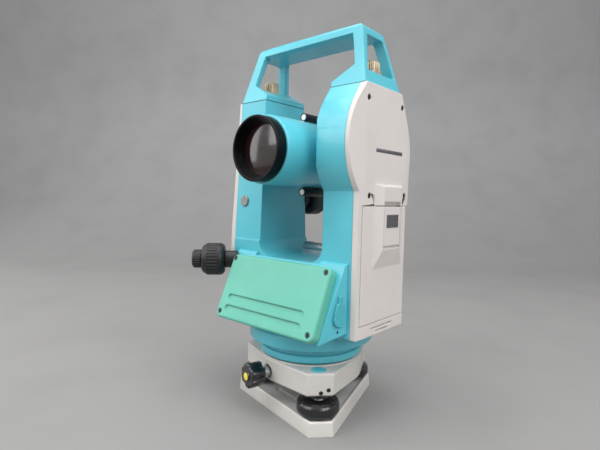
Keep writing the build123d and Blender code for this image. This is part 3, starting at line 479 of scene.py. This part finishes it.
def make_level_contents():
    """Liquid, bubble and marks of the plate level, and liquid and mark of the circular level; the bubble's
    opaque white is a painted highlight.
    """
    column = rounded([(0, 0), (3.3, 0), (3.3, 36), (0, 36)], 1.0)
    add_turned_piece("plate_liquid", column, [vial_place(-18)], LIQUID, "alidade")
    pool = [(0, 0), (7.6, 0), (7.6, 1.2), (0, 1.2)]
    add_turned_piece("circle_liquid", pool, [circle_place(45.3)], LIQUID, "tribrach")
    line = [(4.12, 0), (4.2, 0), (4.2, 0.4), (4.12, 0.4)]
    places = [vial_place(x) for x in (-9.5, -6.5, 6.1, 9.1)]
    add_turned_piece("vial_marks", line, places, BLACK, "alidade")
    ring = [(2.7, 0), (3.1, 0), (3.1, 0.1), (2.7, 0.15)]
    add_turned_piece("circle_mark", ring, [circle_place(50.62)], BLACK, "tribrach")
    bubble = [(0, -5), (0.8, -4.7), (1.3, -3.8), (1.5, -2), (1.5, 2), (1.3, 3.8), (0.8, 4.7), (0, 5)]
    # the bubble is real, but its opaque white stands in for the light it catches: painted highlight
    add_turned_piece("plate_bubble_painted_glint", bubble, [vial_place(0, 2.2)], WHITE, "alidade", steps=32)


def rear_panel():
    """Place of the rear panel's face, with X to the viewer's right and Y up the panel."""
    c, s = math.cos(PANEL_LEAN), math.sin(PANEL_LEAN)
    turn = Matrix(((-1, 0, 0), (0, -s, c), (0, c, s))).to_4x4()
    return Matrix.Translation(Vector(PANEL_CENTRE) * MM) @ turn


def add_digit(bm, place, x, y, digit):
    """Seven-segment digit, with its lower left corner at x and y."""
    half = DIGIT_STROKE / 2
    right, top, middle = x + DIGIT_WIDTH, y + DIGIT_HEIGHT, y + DIGIT_HEIGHT / 2
    bars = {"a": (x, top - half, right, top + half), "g": (x, middle - half, right, middle + half),
            "d": (x, y - half, right, y + half), "b": (right - half, middle, right + half, top),
            "c": (right - half, y, right + half, middle), "f": (x - half, middle, x + half, top),
            "e": (x - half, y, x + half, middle)}
    for name in DIGITS[digit]:
        x0, y0, x1, y1 = bars[name]
        inset_x, inset_y = (BAR_GAP, 0) if x1 - x0 > y1 - y0 else (0, BAR_GAP)
        low = (x0 + inset_x, y0 + inset_y, GLASS_TOP + 0.02)
        add_slab(bm, low, (x1 - inset_x, y1 - inset_y, GLASS_TOP + 0.05), place)


def make_display():
    """Liquid crystal field with two rows of plain figures."""
    place = rear_panel()
    bm = bmesh.new()
    add_slab(bm, (-36, -1.0, GLASS_TOP - 0.1), (36, 17.0, GLASS_TOP + 0.02), place, ease=0.05)
    add_piece("lcd_field", bm, LCD, "alidade")
    bm = bmesh.new()
    for y, figures in ((9.6, " 90 00 00"), (0.8, "123 45 06")):
        for i, digit in enumerate(figures):
            if digit != " ":
                add_digit(bm, place, -26 + DIGIT_PITCH * i, y, digit)
    add_piece("lcd_figures", bm, INK, "alidade")


def make_key_marks():
    """One to four short white bars on the keys."""
    place = rear_panel()
    for number, x in enumerate(KEY_X, start=1):
        bm = bmesh.new()
        first = x - (KEY_BAR_PITCH * number - KEY_BAR_PITCH + KEY_BAR_WIDTH) / 2
        for i in range(number):
            left = first + KEY_BAR_PITCH * i
            low = (left, KEY_Y - KEY_BAR_REACH, KEY_TOP - 0.1)
            high = (left + KEY_BAR_WIDTH, KEY_Y + KEY_BAR_REACH, KEY_TOP + 0.04)
            add_slab(bm, low, high, place, ease=0.02)
        add_piece("key_mark_" + str(number), bm, WHITE, "button_" + str(number))


def make_sight_dots():
    """White dot on the front end of each peep sight."""
    dot = rounded([(0, 0), (2.85, 0), (2.85, 1.2), (0, 1.5)], 0.25)
    heights = (TRUNNION_Z + SIGHT_RISE, TRUNNION_Z - SIGHT_RISE)
    places = [facing((0, SIGHT_FRONT_Y, z), (0, -1, 0)) for z in heights]
    add_turned_piece("sight_dots", dot, places, WHITE, "telescope")


make_lobe_screws()
make_knob_cap()
make_side_label()
make_latch_pad()
make_gaskets()
make_flank_details()
make_level_contents()
make_display()
make_key_marks()
make_sight_dots()


# ---- stage, light and camera ---------------------------------------------------------------------
def paper():
    """Pale mottled paper, with painted light: lighter up the wall than on the floor."""
    material, shader = new_material("paper", (0.27, 0.27, 0.27), 0.9)
    nodes, links = material.node_tree.nodes, material.node_tree.links
    split = nodes.new("ShaderNodeSeparateXYZ")
    links.new(nodes.new("ShaderNodeTexCoord").outputs["Object"], split.inputs["Vector"])
    # painted light: the paper's colour grows lighter with height, from the floor up the wall
    height = remap(material, split.outputs["Z"], 0.0, 0.5, 0.0, 1.0)
    base = mix_colour(material, height, (0.248, 0.244, 0.240), (0.318, 0.318, 0.320))
    tone = remap(material, add_noise(material, 9, 6), 0.45, 0.75, 0.0, 0.12)
    set_colour(material, shader, mix_colour(material, tone, base, (0.10, 0.10, 0.10)))
    return material


def make_stage():
    """Pale floor that curves up into a backdrop, square to the camera."""
    profile = [(-FLOOR_REACH, 0.0), (WALL_DISTANCE - WALL_BEND, 0.0)]
    for i in range(1, BEND_STEPS + 1):
        a = math.pi / 2 * i / BEND_STEPS
        along = WALL_DISTANCE - WALL_BEND + WALL_BEND * math.sin(a)
        profile.append((along, WALL_BEND - WALL_BEND * math.cos(a)))
    profile.append((WALL_DISTANCE, WALL_TOP))
    bm = bmesh.new()
    left = [bm.verts.new((-STAGE_HALF_WIDTH, y, z)) for y, z in profile]
    right = [bm.verts.new((STAGE_HALF_WIDTH, y, z)) for y, z in profile]
    for i in range(len(profile) - 1):
        face = bm.faces.new((left[i], right[i], right[i + 1], left[i + 1]))
        face.smooth = True
    mesh = bpy.data.meshes.new("sweep")
    bm.to_mesh(mesh)
    bm.free()
    mesh.materials.append(paper())
    sweep = bpy.data.objects.new("sweep", mesh)
    bpy.context.scene.collection.objects.link(sweep)
    sweep.rotation_euler = (0, 0, CAMERA_YAW)


def make_camera():
    """Camera at the measured viewing angle."""
    data = bpy.data.cameras.new("camera")
    data.sensor_width = SENSOR_WIDTH
    data.lens = CAMERA_LENS
    data.clip_start = 0.01
    camera = bpy.data.objects.new("camera", data)
    bpy.context.scene.collection.objects.link(camera)
    level = Matrix.Rotation(CAMERA_YAW, 3, "Z") @ Matrix.Rotation(math.pi / 2 - CAMERA_PITCH, 3, "X")
    turned = level @ Matrix.Rotation(CAMERA_ROLL, 3, "Z")
    camera.matrix_world = Matrix.Translation(CAMERA_AT) @ turned.to_4x4()
    bpy.context.scene.camera = camera


def make_world():
    """Soft even light from all round."""
    world = bpy.data.worlds.new("world")
    bpy.context.scene.world = world
    world.use_nodes = True
    background = world.node_tree.nodes["Background"]
    background.inputs["Color"].default_value = WORLD_COLOUR
    background.inputs["Strength"].default_value = WORLD_STRENGTH


def add_light(name, position, target_z, side, watts):
    """Square soft box that faces a point on the vertical axis."""
    data = bpy.data.lights.new(name, "AREA")
    data.shape = "SQUARE"
    data.size = side
    data.energy = watts
    light = bpy.data.objects.new(name, data)
    bpy.context.scene.collection.objects.link(light)
    light.location = position
    light.rotation_mode = "QUATERNION"
    aim = Vector((0, 0, target_z)) - Vector(position)
    light.rotation_quaternion = aim.to_track_quat("-Z", "Y")


make_stage()
make_camera()
make_world()
for lamp in LIGHTS:
    add_light(*lamp)
bpy.context.scene.view_settings.view_transform = "Standard"
